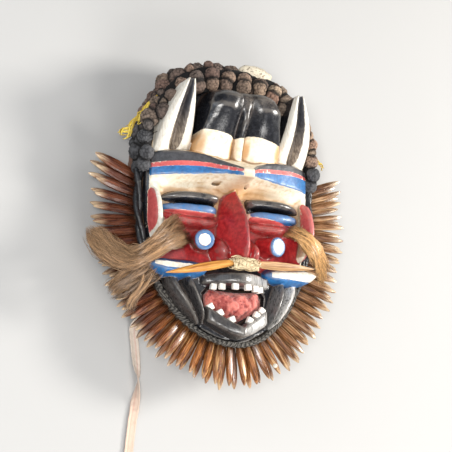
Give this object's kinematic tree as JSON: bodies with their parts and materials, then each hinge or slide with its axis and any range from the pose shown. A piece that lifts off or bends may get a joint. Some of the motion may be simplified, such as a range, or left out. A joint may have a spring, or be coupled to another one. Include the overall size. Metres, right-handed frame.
{
  "type": "guere mask",
  "caption": "Carved and painted face mask with horned forehead, tube cheeks, open toothed mouth, knotted fibre wig, fur tufts and a ruff of wooden spikes, lying on its back.",
  "frame": {"origin": "under the middle of the whole mask's box, in the plane of the flat back rim", "axes": "+Z out of the face, away from the surface that it lies on; +Y from the chin to the crown; +X to the right as one looks at the face"},
  "size_m": [0.3072, 0.4248, 0.104],
  "materials": {
    "painted_wood": "carved wood, painted cream, black, blue, coral and red, satin",
    "black_cord": "cord blackened and waxed, slightly glossy",
    "brown_spikes": "split wood spikes, oiled brown, half glossy",
    "knotted_fibre": "matted dark fibre in hard round knots, matt",
    "pale_fibre": "pale porous fibre, matt",
    "yellow_raffia": "dyed yellow raffia, matt",
    "tan_fur": "animal hair, tan to brown",
    "orange_spikes": "split wood spikes, oiled orange brown",
    "cream_raffia": "plain raffia, matt",
    "white_teeth": "pegs painted white",
    "coral_felt": "coral red felted fibre, rough",
    "pale_cloth": "torn undyed cotton strip",
    "white_thread": "white thread"
  },
  "bodies": {
    "root": {"carved_face": "painted_wood", "jaw_band": "black_cord", "spike_bundle_01": "brown_spikes", "spike_bundle_02": "brown_spikes", "spike_bundle_03": "brown_spikes", "spike_bundle_04": "brown_spikes", "spike_bundle_05": "brown_spikes", "spike_bundle_06": "brown_spikes", "spike_bundle_07": "brown_spikes", "spike_bundle_08": "brown_spikes", "spike_bundle_09": "brown_spikes", "spike_bundle_10": "brown_spikes", "spike_bundle_11": "brown_spikes", "spike_bundle_12": "brown_spikes", "knotted_wig": "knotted_fibre", "pale_knot": "pale_fibre", "raffia_tassel": "yellow_raffia", "raffia_wisp": "yellow_raffia", "fur_tuft_left": "tan_fur", "fur_tuft_right": "tan_fur", "moustache_left": "orange_spikes", "moustache_right": "orange_spikes", "raffia_binding": "cream_raffia", "upper_tooth_1": "white_teeth", "upper_tooth_2": "white_teeth", "upper_tooth_3": "white_teeth", "upper_tooth_4": "white_teeth", "upper_tooth_5": "white_teeth", "upper_tooth_6": "white_teeth", "lower_tooth_1": "white_teeth", "lower_tooth_2": "white_teeth", "lower_tooth_3": "white_teeth", "lower_tooth_4": "white_teeth", "lower_tooth_5": "white_teeth", "lower_tooth_6": "white_teeth", "tongue": "coral_felt", "cloth_tie": "pale_cloth", "thread_knot": "white_thread"}
  },
  "joints": []
}
